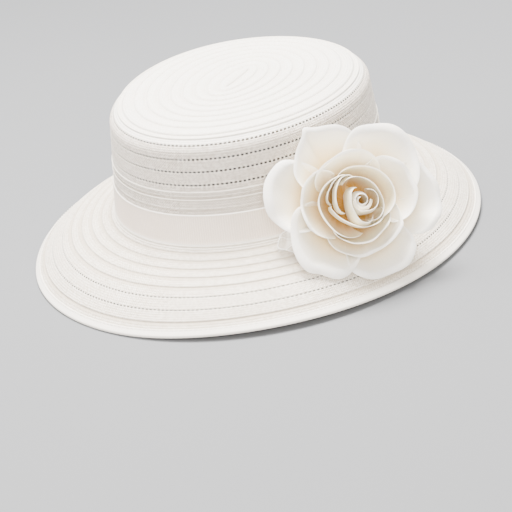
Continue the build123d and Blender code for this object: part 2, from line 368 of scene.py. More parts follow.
def braid_material(name, light, shade, hole_shade, mesh, band):
    """Plain-woven straw cloth in flat cords. The holes between its threads are painted dark by the share mesh:
    painted shade, the shaded inside seen through them. The start of each round, where it comes out from under
    the one before,
    is darker by the share band: painted shade along each seam. Each cord is painted lighter on top with painted
    shade in the grooves between cords, and streaks and slubs vary the tone at random."""
    n = Nodes(name)
    along, across = n.weave()
    cords = n.wave(across, CORD_WIDTH, -math.pi / 2)
    weft, warp = n.wave(along, 1.7), n.wave(across, CORD_WIDTH, math.pi / 2)
    same = n.math("MULTIPLY", weft, warp)
    other = n.math("MULTIPLY", n.math("SUBTRACT", 1.0, weft), n.math("SUBTRACT", 1.0, warp))
    checks = n.rise(n.math("ADD", same, other), 0.3, 0.75)
    slubs = n.noise(720.0, 3.0)
    streaks = n.noise(60.0, 4.0)
    grains = n.rise(slubs, 0.38, 0.62)
    # Painted shade along each seam, where a round comes out from under the one before
    start = n.rise(across, TUCK + 3.6, TUCK + 0.4)
    lit = n.math("MULTIPLY_ADD", streaks, 0.5, n.math("MULTIPLY", grains, 0.4))
    # Painted light and shade: each cord lighter on top, darker in the grooves between cords
    lit = n.math("MULTIPLY_ADD", cords, 0.3, lit)
    lit = n.math("SUBTRACT", lit, n.math("MULTIPLY", start, band))
    tint = n.mix(lit, shade, light)
    # Painted shade in the holes between threads, for the inside seen through them
    thin = n.math("SUBTRACT", 1.25, n.math("MULTIPLY", grains, 0.7))
    inside_shade_share = n.math("MULTIPLY", n.math("MULTIPLY", checks, thin), mesh)
    tint = n.mix(inside_shade_share, tint, hole_shade)
    relief = n.math("SUBTRACT", n.math("MULTIPLY_ADD", cords, 0.4, n.math("MULTIPLY", slubs, 0.6)), checks)
    rough = n.math("MULTIPLY_ADD", slubs, 0.25, 0.42)
    return n.finish(Base_Color=tint, Roughness=rough, Normal=n.bump(relief, 0.22, 0.7), Subsurface_Weight=0.1,
                    Subsurface_Radius=(1.0, 0.8, 0.6), Subsurface_Scale=0.002, Sheen_Weight=0.15,
                    Sheen_Roughness=0.4, Specular_IOR_Level=0.35)


def thread_material(name, tint):
    """Twisted sewing thread."""
    n = Nodes(name)
    along, across = n.weave()
    twist = n.wave(n.math("ADD", along, across), 0.45)
    # The twist's grooves are painted darker, painted shade, and noise varies the tone at random
    shade = n.mix(n.math("MULTIPLY_ADD", twist, 0.5, n.math("MULTIPLY", n.noise(300.0), 0.5)),
                  tuple(0.78 * c for c in tint[:3]) + (1.0,), tint)
    return n.finish(Base_Color=shade, Roughness=0.45, Normal=n.bump(twist, 0.06, 0.6), Sheen_Weight=0.2,
                    Sheen_Roughness=0.35)


def ribbon_material(name, light, shade, pitch, gloss, width=None):
    """Grosgrain: ribs across the ribbon, each a row of fine warp threads, with a soft rayon gloss. Each rib and
    warp thread is painted lighter on top with painted shade between, and clouds vary the tone at random. Given
    its width,
    it is painted lighter along each edge: a painted highlight on the raised selvedge."""
    n = Nodes(name)
    along, across = n.weave()
    ribs = n.wave(along, pitch)
    warp = n.wave(across, 0.34)
    uneven = n.noise(180.0, 5.0)
    cloud = n.noise(24.0, 2.0)
    # Ribs and warp threads: lighter on top with painted shade between them; cloud varies the tone at random
    share = n.math("MULTIPLY_ADD", cloud, 0.45, n.math("MULTIPLY", warp, 0.15))
    share = n.math("MULTIPLY_ADD", ribs, 0.4, share)
    relief = n.math("ADD", n.math("MULTIPLY", warp, 0.35), n.math("MULTIPLY", uneven, 0.4))
    rough = n.math("MULTIPLY_ADD", ribs, -0.12, n.math("MULTIPLY_ADD", uneven, 0.2, gloss))
    tint = n.mix(share, shade, light)
    # Painted highlight: lighter along each raised selvedge
    if width:
        edge = n.math("ABSOLUTE", n.math("SUBTRACT", across, width / 2))
        tint = n.mix(n.math("GREATER_THAN", edge, width / 2 - SELVEDGE), tint, colour(0.96, 0.92, 0.87))
    return n.finish(Base_Color=tint, Roughness=rough, Normal=n.bump(relief, 0.07, 0.6),
                    Sheen_Weight=0.25, Sheen_Roughness=0.35, Specular_IOR_Level=0.5)


def petal_material(name, rim, middle, heart, gloss, lower, upper):
    """Stiffened petal silk, white at the rim, with a crepe grain and faint veins. Towards the foot it is painted
    cream,
    then honey and amber: painted warm shade and bounce light of the rose's depths. lower and upper are the
    spans, from
    0 at the foot to 1 at the rim, where the heart and middle tints of this painted shade fade."""
    n = Nodes(name)
    side, up = n.weave()
    # Painted warm shade, deepening from the rim towards the foot
    depth = n.math("MULTIPLY_ADD", n.noise(60.0, 3.0), 0.12, n.math("SUBTRACT", up, 0.06))
    tint = n.mix(n.rise(depth, *upper), n.mix(n.rise(depth, *lower), heart, middle), rim)
    stretch = n.add("CombineXYZ", X=n.math("MULTIPLY", side, 0.3), Y=n.math("MULTIPLY", up, 0.5), Z=0.0)
    veins = n.noise(3.0, 5.0, stretch.outputs[0])
    crepe = n.noise(900.0, 2.0)
    tint = n.mix(n.math("MULTIPLY", n.math("SUBTRACT", veins, 0.35), 0.5), tint, middle)
    relief = n.math("MULTIPLY_ADD", veins, 2.4, n.math("MULTIPLY", crepe, 0.4))
    rough = n.math("MULTIPLY_ADD", crepe, 0.15, gloss)
    return n.finish(Base_Color=tint, Roughness=rough, Normal=n.bump(relief, 0.16, 0.5),
                    Subsurface_Weight=0.15, Subsurface_Radius=(1.0, 0.8, 0.45), Subsurface_Scale=0.003,
                    Sheen_Weight=0.3, Sheen_Roughness=0.3, Specular_IOR_Level=0.4)


def organza_material():
    """Sheer crossed threads: clear between them. Its colour, mottled at random, is a warm beige darker than the
    cloth's white: painted shade for the leaf's shadow on the brim.
    """
    n = Nodes("organza_sheer")
    side, up = n.weave()
    threads = n.math("MAXIMUM", n.wave(side, 0.05), n.wave(up, 0.05))
    cloud = n.noise(150.0, 4.0)
    clear = n.math("MULTIPLY_ADD", threads, 0.12, n.math("MULTIPLY_ADD", cloud, 0.3, 0.3))
    # Painted shade: warm beige for the leaf's shadow on the brim, mottled at random
    return n.finish(Base_Color=n.mix(cloud, colour(0.56, 0.52, 0.46), colour(0.80, 0.77, 0.72)), Alpha=clear,
                    Roughness=0.35, Normal=n.bump(cloud, 0.3, 0.6), Sheen_Weight=0.5, Sheen_Roughness=0.25)


def felt_material():
    """Wool felt: short crossed fibres."""
    n = Nodes("wool_felt")
    fibres, tufts = n.noise(900.0, 6.0), n.noise(200.0, 4.0)
    tint = n.mix(tufts, colour(0.72, 0.68, 0.6), colour(0.86, 0.83, 0.76))
    relief = n.math("MULTIPLY_ADD", tufts, 0.8, fibres)
    return n.finish(Base_Color=tint, Roughness=0.9, Normal=n.bump(relief, 0.3, 0.8), Sheen_Weight=0.6,
                    Sheen_Roughness=0.5)


def calyx_material():
    """Stiffened cotton with a fine plain weave."""
    n = Nodes("calyx_cotton")
    side, up = n.weave()
    weave = n.math("MULTIPLY", n.wave(side, 0.06), n.wave(up, 0.06))
    cloud = n.noise(90.0, 4.0)
    tint = n.mix(cloud, colour(0.74, 0.72, 0.6), colour(0.86, 0.84, 0.75))
    return n.finish(Base_Color=tint, Roughness=0.7, Normal=n.bump(n.math("ADD", weave, cloud), 0.1, 0.6),
                    Sheen_Weight=0.2, Sheen_Roughness=0.4)


def stem_material():
    """Paper tape wound on wire."""
    n = Nodes("stem_tape")
    place = n.add("SeparateXYZ", Vector=n.add("TexCoord").outputs["Object"])
    level = n.math("ADD", place.outputs[0], place.outputs[1])
    slant = n.math("ADD", level, n.math("MULTIPLY", place.outputs[2], 1.7))
    turns = n.wave(n.math("MULTIPLY", slant, 1 / MM), 2.4)
    fibres = n.noise(700.0, 4.0)
    tint = n.mix(n.math("MULTIPLY_ADD", turns, 0.5, n.math("MULTIPLY", fibres, 0.5)), colour(0.66, 0.64, 0.5),
                 colour(0.86, 0.84, 0.74))
    return n.finish(Base_Color=tint, Roughness=0.75, Normal=n.bump(n.math("ADD", turns, fibres), 0.2, 0.7))


def wire_material():
    """Drawn steel with fine lines along it."""
    n = Nodes("drawn_wire")
    lines = n.noise(1200.0, 3.0)
    tint = n.mix(lines, colour(0.52, 0.52, 0.52), colour(0.74, 0.74, 0.73))
    return n.finish(Base_Color=tint, Metallic=1.0, Roughness=n.math("MULTIPLY_ADD", lines, 0.2, 0.25),
                    Normal=n.bump(lines, 0.02, 0.4))


def tube_material():
    """Milky moulded tube."""
    n = Nodes("joiner_tube")
    cloud = n.noise(400.0, 3.0)
    tint = n.mix(cloud, colour(0.82, 0.81, 0.77), colour(0.92, 0.91, 0.88))
    return n.finish(Base_Color=tint, Roughness=n.math("MULTIPLY_ADD", cloud, 0.15, 0.3),
                    Normal=n.bump(cloud, 0.03, 0.4), Subsurface_Weight=0.3, Subsurface_Scale=0.001)


# -------- braid

def round_section(start, stop, tucked):
    """A round's closed section as (along, off) pairs, cords above and a flat face below, and its places across,
    which start further on in a round that isn't tucked under another."""
    first = start - TUCK if tucked else start
    cords = max(2, round((stop - first) / CORD_WIDTH))
    steps = cords * 4
    top, bottom = [], []
    for i in range(steps + 1):
        t = i / steps
        along = first + (stop - first) * t
        rise = min(1.0, max(0.0, (along - start + 0.2) / 3.2)) if tucked else 1.0
        off = -(1 - rise) ** 1.5 * (BRAID_THICK + 0.1)
        ridge = CORD_RELIEF * abs(math.sin(math.pi * cords * t)) ** 0.8
        top.append((along, off - 0.1 + ridge))
        if i % 4 == 0:
            bottom.append((along, off - BRAID_THICK))
    shift = 0 if tucked else CORD_WIDTH * 6
    across = [shift + CORD_WIDTH * i / 4 for i in range(steps + 1)]
    across += [shift + CORD_WIDTH * i for i in range(cords, -1, -1)]
    return top + bottom[::-1], across + [shift]


def braid_rounds(profile, ends, open_rows, mesh, gap=0.0, first=0.0, last_mesh=None):
    """Every round of a profile, the last in last_mesh if given. Rounds either side of an open row stand a gap
    apart."""
    starts = [first] + list(ends)
    stops = list(ends) + [profile.length]
    for i, (start, stop) in enumerate(zip(starts, stops)):
        after_open, before_open = i - 1 in open_rows, i in open_rows
        start, stop = start + gap / 2 * after_open, stop - gap / 2 * before_open
        section, across = round_section(start, stop, i > 0 and not after_open)
        middle = profile.at([(start + stop) / 2], [0.0])[0]
        angles, length = even_angles(middle[0], RING_STEPS)
        into = last_mesh if last_mesh and i == len(ends) else mesh
        ring(into, profile, section, angles, length, across=across)


def piping(profile, along, radius, off, mesh):
    """A round cord sewn on along a round."""
    turns = np.linspace(0, 2 * math.pi, 8, endpoint=False)
    angles, length = even_angles(profile.at([along], [off])[0][0], RING_STEPS)
    section = np.stack([along + radius * np.cos(turns), off + radius * np.sin(turns)], axis=-1)
    ring(mesh, profile, section, angles, length)


def open_work(profile, rows, gap, mesh):
    """Drawn threads across each open row, in bundles that are pinched at their middles."""
    for along in rows:
        centre = profile.at([along], [0.0])[0]
        _, length = even_angles(centre[0], 8)
        count = round(length / OPEN_PITCH)
        angles, _ = even_angles(centre[0], count)
        half, step = gap / 2 + 0.35, angles[1:] - angles[:-1]
        for number, (angle, width) in enumerate(zip(angles, step)):
            slip = 0.06 * math.sin(number * 2.1)
            slips = ((0, slip), (0, 0), (slip, 0), (0, -slip))
            for (low, high), (low_slip, high_slip) in zip(OPEN_BARS, slips):
                a, b = (oval(angle + width * side, profile.at([along + reach], [-0.25])[0])
                        for side, reach in ((low + low_slip, -half), (high + high_slip, half)))
                bar(mesh, a, b, OPEN_BAR_R)


def stitches(profile, rows, mesh, off=0.2):
    """A line of machine stitches along each row."""
    for along in rows:
        centre = profile.at([along], [off])[0]
        _, length = even_angles(centre[0], 8)
        count = max(12, round(length / STITCH_PITCH))
        angles, _ = even_angles(centre[0], count)
        for i in range(count):
            step = (angles[i + 1] - angles[i]) * STITCH_LONG / STITCH_PITCH
            a, b = oval(angles[i], centre), oval(angles[i] + step, centre)
            bar(mesh, a, b, STITCH_R, 4)


# -------- ribbons and edge

def ribbon_section(low, high, near, thick):
    """A ribbon's closed section on the wall, as a function of the step: ribs between two plain selvedges."""
    heights = [low, low + 0.25, low + SELVEDGE, low + SELVEDGE + 0.3]
    heights += list(np.linspace(low + 3.0, high - 3.0, 4))
    heights += [high - SELVEDGE - 0.3, high - SELVEDGE, high - 0.25, high]

    def section(step):
        rib = RIB_RELIEF * math.sin(math.pi / 2 * step)
        face = []
        for i, height in enumerate(heights):
            plain = i in (0, 1, 2, 9, 10, 11)
            bead = (0.0, 0.26, 0.2)[min(i, 11 - i)] if plain else 0.0
            face.append((height, near + thick + (bead if plain else rib)))
        back = [(height, near) for height in heights[::-1]]
        return [(WALL_LINE.length + WALL_FOOT - h, off) for h, off in face + back]

    return section


def ribbon(name, low, high, near, thick, material, start=0.0, stop=2 * math.pi):
    middle = WALL_LINE.at([WALL_LINE.length - (low + high) / 2], [near])[0]
    _, length = even_angles(middle[0], 8, start, stop)
    whole = stop - start > 6.28
    count = 4 * round(length / RIB_PITCH)
    angles, _ = even_angles(middle[0], count, start, stop)
    mesh = Mesh()
    ring(mesh, WALL_LINE, ribbon_section(low, high, near, thick), angles, length, whole)
    made = mesh.piece(name, material)
    return made


def edge_point(along, across):
    """A place past the brim's edge: along the brim's slope, and across it from the braid's middle."""
    return (BRIM_LINE.length + along, across - BRAID_THICK / 2 - 0.1)


def binding_section(step):
    """The edge fold: an open C round the brim's edge, faintly ribbed."""
    rib = 0.05 * math.sin(math.pi / 2 * step)
    back = BINDING_REACH - BINDING_WIDTH
    outer, inner = [], []
    for i in range(13):
        turn = math.radians(-90 + 15 * i)
        outer.append((BINDING_REACH - BINDING_HALF + (BINDING_HALF + rib) * math.cos(turn),
                      (BINDING_HALF + rib) * math.sin(turn)))
        inner.append((BINDING_REACH - BINDING_HALF + (BINDING_HALF - 0.4) * math.cos(turn),
                      (BINDING_HALF - 0.4) * math.sin(turn)))
    lower = [(back, -0.62), (back + 0.3, -0.98), (back + 1.4, -1.02 - rib)]
    upper = [(back + 1.4, 1.02 + rib), (back + 0.3, 0.98), (back, 0.62)]
    fold = lower + outer + upper + [(back + 0.6, 0.55)] + inner[::-1] + [(back + 0.6, -0.55)]
    return [edge_point(*p) for p in fold]


# -------- rose

def rose_frame():
    level = math.cos(ROSE_ELEVATION)
    facing = Vector((math.sin(ROSE_AZIMUTH) * level, -math.cos(ROSE_AZIMUTH) * level, math.sin(ROSE_ELEVATION)))
    right = Vector((math.cos(ROSE_AZIMUTH), math.sin(ROSE_AZIMUTH), 0))
    up = facing.cross(right)
    return np.array([right, up, facing])


def in_rose(points):
    """Points of the rose's own frame, in the row frame."""
    return np.asarray(points) @ rose_frame() + np.array(ROSE_CENTRE)


# For each petal: rim height, foot height, how upright, roll radius, roll in degrees, how far its two ends dip,
# and its rim's outline as (direction in degrees, radius)
PETALS = {
    "heart_1": (20.5, -5.0, 0.95, 0.45, 150, 2.0,
        [(96, 9.4), (127, 8.6), (167, 7.4), (219, 9.2), (252, 13.4), (273, 14.6), (296, 13.2)]),
    "heart_2": (20.0, -5.0, 0.95, 0.4, 140, 1.5,
        [(168, 5.6), (200, 6.4), (240, 7.2), (279, 7.4), (316, 9.4), (343, 9.9), (377, 9.8), (409, 8.6)]),
    "inner_1": (19.2, -6.0, 0.93, 0.5, 150, 2.5,
        [(128, 17.0), (108, 15.6), (90, 14.4), (62, 12.9), (11, 11.9), (-30, 14.1), (-59, 15.4), (-84, 15.2)]),
    "inner_2": (18.2, -6.0, 0.93, 0.55, 140, 2.5,
        [(330, 15.8), (315, 16.6), (295, 17.2), (267, 16.8), (227, 16.6), (195, 18.8), (178, 21.6)]),
    "inner_3": (18.6, -6.5, 0.92, 0.5, 150, 2.5,
        [(92, 17.4), (118, 18.4), (138, 17.6), (162, 16.6), (185, 15.9), (207, 14.8)]),
    "cup_1": (16.5, -8.0, 0.88, 0.75, 140, 3.0,
        [(122, 22.8), (103, 21.6), (76, 20.9), (45, 21.4), (16, 21.4), (-6, 21.4), (-29, 20.0), (-62, 18.0)]),
    "cup_2": (16.0, -8.0, 0.88, 0.7, 150, 3.0,
        [(92, 18.8), (127, 21.6), (150, 24.6), (166, 26.4), (190, 26.2), (210, 25.4), (235, 25.0),
         (263, 23.2)]),
    "cup_3": (16.8, -8.0, 0.9, 0.5, 140, 3.0,
        [(102, 18.9), (125, 20.2), (145, 20.8), (160, 21.4), (176, 21.0)]),
    "cup_4": (14.6, -9.0, 0.85, 0.9, 125, 3.0,
        [(212, 27.4), (232, 27.0), (250, 26.8), (268, 25.8), (290, 23.2), (312, 22.4), (334, 22.8)]),
    "middle_1": (10.0, -11.0, 0.74, 1.5, 115, 4.0,
        [(350, 27.0), (327, 29.4), (316, 30.4), (295, 31.0), (273, 32.3), (258, 34.0), (240, 34.2),
         (217, 35.2)]),
    "middle_2": (10.0, -11.0, 0.72, 1.3, 120, 4.0,
        [(116, 26.4), (130, 31.0), (143, 33.8), (159, 35.5), (170, 35.8), (185, 35.6), (200, 34.6),
         (226, 31.4)]),
    "middle_3": (10.5, -11.0, 0.66, 1.7, 105, 3.0,
        [(152, 31.4), (136, 31.4), (120, 30.6), (104, 30.4), (85, 30.8), (73, 31.2), (58, 30.2), (38, 28.6)]),
    "middle_4": (8.5, -11.5, 0.6, 2.0, 100, 3.0,
        [(64, 27.0), (51, 31.0), (34, 34.2), (20, 36.2), (7, 36.9), (-8, 37.0), (-23, 35.2), (-44, 30.4)]),
    "outer_1": (3.0, -14.0, 0.5, 3.0, 110, 3.0,
        [(166, 33.0), (175, 38.2), (185, 41.7), (197, 44.8), (212, 49.0), (221, 49.8), (228, 47.2),
         (236, 46.6), (245, 45.2), (256, 40.5), (268, 33.0)]),
    "outer_2": (4.0, -14.0, 0.5, 3.2, 90, 3.0,
        [(96, 33.0), (88, 37.0), (77, 43.0), (63, 47.2), (50, 50.0), (38, 50.4), (22, 47.0), (8, 43.6),
         (-10, 38.0)]),
    "outer_3": (2.0, -15.0, 0.46, 2.8, 85, 3.0,
        [(322, 38.0), (314, 44.0), (304, 47.4), (291, 48.6), (276, 47.6), (263, 45.4), (252, 42.0),
         (244, 36.0)]),
    "outer_4": (3.0, -15.0, 0.48, 2.2, 80, 3.0,
        [(154, 38.0), (143, 43.0), (130, 46.4), (118, 50.4), (113, 53.6), (106, 50.8), (92, 47.6),
         (78, 43.6), (66, 38.0)]),
    "outer_5": (0.0, -16.0, 0.42, 3.2, 90, 3.0,
        [(124, 38.0), (132, 45.0), (140, 50.6), (150, 54.0), (162, 54.6), (172, 53.4), (181, 50.2),
         (191, 45.0), (200, 38.0)]),
    "outer_6": (0.0, -16.0, 0.42, 2.4, 75, 3.0,
        [(28, 42.0), (18, 48.6), (5, 51.7), (-6, 53.7), (-16, 54.2), (-26, 51.9), (-36, 47.9), (-46, 41.0)]),
}
PETAL_COLUMNS, PETAL_ROWS, ROLL_ROWS = 44, 22, 9
FOOT_R = 2.4
PETAL_THICK = 0.22


def petal_surface(number, height, foot, upright, roll_r, roll, dip, outline):
    """A grid of points from the foot to the rolled rim, in the rose's own frame."""
    rim = smooth_line(outline)
    share = np.linspace(0, 1, len(rim))
    place = np.linspace(0, 1, PETAL_COLUMNS + 1)
    direction, radius = (np.interp(place, share, rim[:, k])[:, None] for k in (0, 1))
    across = 2 * place[:, None] - 1
    middle = (direction[0] + direction[-1]) / 2
    spread = np.radians(abs(direction[-1] - direction[0]))
    phase = number * 2.4
    openness = np.clip((radius.mean() - 12) / 36, 0, 1)
    wave = 0.6 * np.sin(across * 4.3 + phase) + 0.45 * np.sin(across * 9.1 + 1.7 * phase)
    roll_r, roll = roll_r * (0.5 + 0.5 * openness), roll * (0.6 + 0.4 * openness)
    frill = 0.3 * openness * np.sin(across * 13 + phase) * (1 - across ** 4)
    rim_r = (radius + frill - 1.1 * roll_r) * (1 - 0.14 * np.abs(across) ** 7)
    rim_z = height + (0.35 + 1.1 * openness) * wave - (1 + 1.2 * (1 - openness)) * dip * np.abs(across) ** 4
    # Section from foot to rim, a cubic curve whose inner points stand out and up
    t = np.linspace(0, 1, PETAL_ROWS + 1)[None, :]
    swell = 0.42 * np.clip(1 - (radius.mean() - 8) / 11, 0, 1)
    r1, r2 = rim_r * (0.30 + 0.55 * upright + swell), rim_r * (0.62 + 0.42 * upright + swell)
    z1, z2 = foot + (rim_z - foot) * 0.04, foot + (rim_z - foot) * (0.62 - 0.18 * upright)
    weights = ((1 - t) ** 3, 3 * t * (1 - t) ** 2, 3 * t * t * (1 - t), t ** 3)
    r = sum(w * x for w, x in zip(weights, (FOOT_R, r1, r2, rim_r)))
    z = sum(w * x for w, x in zip(weights, (foot, z1, z2, rim_z)))
    # The rim rolls outwards and down
    slope = np.arctan2(rim_z - z2, rim_r - r2)
    turn = np.radians(roll) * (1 - 0.75 * np.abs(across) ** 3 + 0.15 * wave)
    s = np.linspace(0, 1, ROLL_ROWS + 1)[None, 1:]
    curl = roll_r * (0.6 + 0.8 * s)
    roll_out = rim_r + curl * (np.sin(slope) - np.sin(slope - turn * s))
    roll_up = rim_z + curl * (np.cos(slope - turn * s) - np.cos(slope))
    r, z = np.hstack([r, roll_out]), np.hstack([z, roll_up])
    steps = np.hstack([t, 1 + s * 0.25]) / 1.25
    width = 0.3 + 0.7 * np.sin(np.pi / 2 * np.clip(steps / 0.62, 0, 1))
    angle = np.radians(middle + (direction - middle) * width)
    # Soft creases that run from foot to rim
    crease = 0.4 * np.sin(across * 7.0 + phase) * np.sin(np.pi * steps) * (0.3 + openness)
    points = np.stack([(r + crease) * np.cos(angle), (r + crease) * np.sin(angle), z + crease], axis=-1)
    uv = stack(across * spread * radius.mean() / 20, steps / 10)
    return points, uv


def surface_size(points):
    """(width, length, area) of a grid of points, along its own surface."""
    rows = np.linalg.norm(np.diff(points, axis=0), axis=2).sum(axis=0)
    length = np.linalg.norm(np.diff(points, axis=1), axis=2).sum(axis=1)
    a, b, c, d = points[:-1, :-1], points[:-1, 1:], points[1:, 1:], points[1:, :-1]
    first, second = (np.linalg.norm(np.cross(p, q), axis=2) for p, q in ((b - a, c - a), (c - a, d - a)))
    return rows.max(), length.max(), (first + second).sum() / 2


def declare_cut(made, points, **how):
    """Measures a sheet along its surface and works out its area, which is then not used."""
    width, length, area = surface_size(points)
    min(area, width * length) * MM * MM


def thicken(made, thick):
    shell = made.modifiers.new("cloth_thickness", "SOLIDIFY")
    shell.thickness = thick * MM
    shell.offset = 0.0
    smooth = made.modifiers.new("smooth", "SUBSURF")
    smooth.levels = smooth.render_levels = 1


def rose_petals(material_inner, material_outer):
    made = []
    for number, (name, row) in enumerate(PETALS.items()):
        points, uv = petal_surface(number, *row)
        mesh = Mesh()
        mesh.grid(in_rose(points), uv)
        material = material_outer if name.startswith(("outer", "middle")) else material_inner
        petal = mesh.piece("petal_" + name, material)
        thicken(petal, PETAL_THICK)
        declare_cut(petal, points, held="gathered", rests_on=["rose_calyx"])
        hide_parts("rose_petal_" + name)
        made.append(petal)
    return made


def rose_bud(material):
    """The rolled middle: a strip wound in a spiral, its upper edge drawn in."""
    wound = np.linspace(0, 1, BUD_STEPS + 1)[:, None]
    up = np.linspace(0, 1, BUD_ROWS)[None, :]
    angle = 2 * math.pi * BUD_TURNS * wound + BUD_START
    closing = np.clip((up - 0.7) / 0.3, 0, 1) ** 1.5
    swelling = np.sin(math.pi / 2 * np.clip(up * 1.4, 0, 1))
    radius = (BUD_R + BUD_WIDENING * wound) * (BUD_FOOT + BUD_BELLY * swelling - BUD_MOUTH * closing)
    top = BUD_HIGH + BUD_CLIMB * wound + BUD_WAVE * np.sin(angle * 1.3)
    z = BUD_LOW + (top - BUD_LOW) * up
    points = stack(radius * np.cos(angle), radius * np.sin(angle), z)
    uv = stack(wound * 4, up / 10)
    mesh = Mesh()
    mesh.grid(in_rose(points), uv)
    made = mesh.piece("rose_bud_rolled", material)
    thicken(made, PETAL_THICK)
    declare_cut(made, points, held="folded", rests_on=["rose_stem"])
    return made


def rose_calyx(material):
    """A stiff cup under the petals that opens into five pointed sepals."""
    around = np.linspace(0, 2 * math.pi, CALYX_STEPS, endpoint=False)[:, None]
    up = np.linspace(0, 1, CALYX_ROWS)[None, :]
    point = np.abs(np.cos(around * SEPALS / 2)) ** 1.5
    r = CALYX_NECK_R + (CALYX_REACH + SEPAL_REACH * point) * up ** 1.5
    cup = np.sin(math.pi / 2 * np.clip(up * 1.25, 0, 1))
    z = CALYX_LOW + (CALYX_HIGH - CALYX_LOW) * cup - SEPAL_DROOP * point * up ** 3
    points = stack(r * np.cos(around), r * np.sin(around), z)
    u = np.linspace(0, 2 * math.pi, CALYX_STEPS + 1)[:, None]
    mesh = Mesh()
    mesh.grid(in_rose(points), stack(u, up), True, False)
    made = mesh.piece("rose_calyx_sepals", material)
    thicken(made, CALYX_THICK)
    return made


# -------- making the hat

TIP_LINE, WALL_LINE, BRIM_LINE = Profile(TIP), Profile(WALL), Profile(BRIM)

# Three tints of one braid, partly its own ivory and partly painted light and shade: the tip lightest and most
# neutral, as lit from above; the wall darkest, partly for its more open weave and partly painted shade where it
# turns from the key light; the brim warm, partly painted bounce light from the rose. The hole tints are painted
# shade of the inside seen through the holes, darkest for the wall.
BRAID_TOP = braid_material("braid_ivory_tip", colour(0.97, 0.95, 0.91), colour(0.84, 0.80, 0.74),
                           colour(0.6, 0.55, 0.48), 0.3, 0.5)
BRAID_BRIM = braid_material("braid_ivory_brim", colour(0.94, 0.895, 0.825), colour(0.64, 0.57, 0.48),
                            colour(0.42, 0.34, 0.26), 0.6, 0.85)
BRAID_WALL = braid_material("braid_ivory_wall", colour(0.9, 0.85, 0.785), colour(0.62, 0.55, 0.48),
                            colour(0.26, 0.21, 0.17), 0.75, 0.35)
THREAD = thread_material("sewing_thread", colour(0.94, 0.9, 0.83))
BINDING = ribbon_material("edge_fold", colour(0.96, 0.93, 0.88), colour(0.86, 0.81, 0.74), 0.9, 0.42)
RIBBON = ribbon_material("hat_ribbon", colour(0.96, 0.87, 0.79), colour(0.70, 0.59, 0.50), RIB_PITCH, 0.28,
                         BAND_HIGH - BAND_LOW + 0.4)
SWEAT = ribbon_material("sweat_ribbon", colour(0.88, 0.85, 0.79), colour(0.74, 0.70, 0.63), RIB_PITCH, 0.42)
# Two tints of one silk: the inner petals and the bud, which lie deepest in the rose, take the darker amber
# painted shade at the foot; the middle and outer petals a paler one.
SILK = petal_material("petal_silk", colour(0.96, 0.92, 0.85), colour(0.96, 0.88, 0.64),
                      colour(0.50, 0.23, 0.015), 0.36, (0.2, 0.68), (0.62, 0.96))
SILK_WHITE = petal_material("petal_silk_white", colour(0.96, 0.94, 0.9), colour(0.95, 0.88, 0.70),
                            colour(0.86, 0.58, 0.2), 0.34, (0.15, 0.72), (0.45, 0.9))


def finish_piece(made, slot, *nodes):
    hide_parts(*nodes)
    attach(made, "root")


def make_thread(mesh, name):
    made = mesh.piece(name, THREAD)
    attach(made, "root")


def sewn(ends, open_rows):
    """Where rounds are stitched: a little before each end that isn't open-work."""
    return [end - STITCH_BACK for i, end in enumerate(ends) if i not in open_rows]


def make_crown():
    """The tip's outermost round is of the wall's open cloth."""
    tip, wall, tip_thread, wall_thread = Mesh(), Mesh(), Mesh(), Mesh()
    ends = [TIP_LINE.length - distance for distance in TIP_ROUNDS[::-1]]
    braid_rounds(TIP_LINE, ends, TIP_OPEN, tip, WALL_GAP, last_mesh=wall)
    open_work(TIP_LINE, [ends[i] for i in TIP_OPEN], WALL_GAP, tip_thread)
    piping(TIP_LINE, TIP_LINE.length - TIP_PIPING, 0.55, 0.3, tip_thread)
    stitches(TIP_LINE, sewn(ends, TIP_OPEN), tip_thread)
    braid_rounds(WALL_LINE, WALL_ROUNDS, WALL_OPEN, wall, WALL_GAP)
    open_work(WALL_LINE, [WALL_ROUNDS[i] for i in WALL_OPEN], WALL_GAP, wall_thread)
    for along in WALL_PIPING:
        piping(WALL_LINE, along, 0.35, 0.22, wall_thread)
    stitches(WALL_LINE, sewn(WALL_ROUNDS, WALL_OPEN), wall_thread)
    finish_piece(tip.piece("crown_tip_braid", BRAID_TOP), "braid", "crown_tip")
    finish_piece(wall.piece("crown_wall_braid", BRAID_WALL), "braid", "crown_wall")
    make_thread(tip_thread, "crown_tip_stitches")
    make_thread(wall_thread, "crown_wall_stitches")


def make_brim():
    mesh, thread = Mesh(), Mesh()
    braid_rounds(BRIM_LINE, BRIM_ROUNDS, BRIM_OPEN, mesh, BRIM_GAP, -0.6)
    finish_piece(mesh.piece("brim_braid", BRAID_BRIM), "braid", "brim")
    open_work(BRIM_LINE, [BRIM_ROUNDS[i] for i in BRIM_OPEN], BRIM_GAP, thread)
    piping(BRIM_LINE, 0.6, 0.6, 0.35, thread)
    piping(BRIM_LINE, 2.6, 0.35, 0.2, thread)
    stitches(BRIM_LINE, sewn(BRIM_ROUNDS, BRIM_OPEN), thread)
    stitches(BRIM_LINE, [BRIM_LINE.length - BINDING_WIDTH + BINDING_REACH + 0.6], thread, off=0.95)
    make_thread(thread, "brim_stitches")


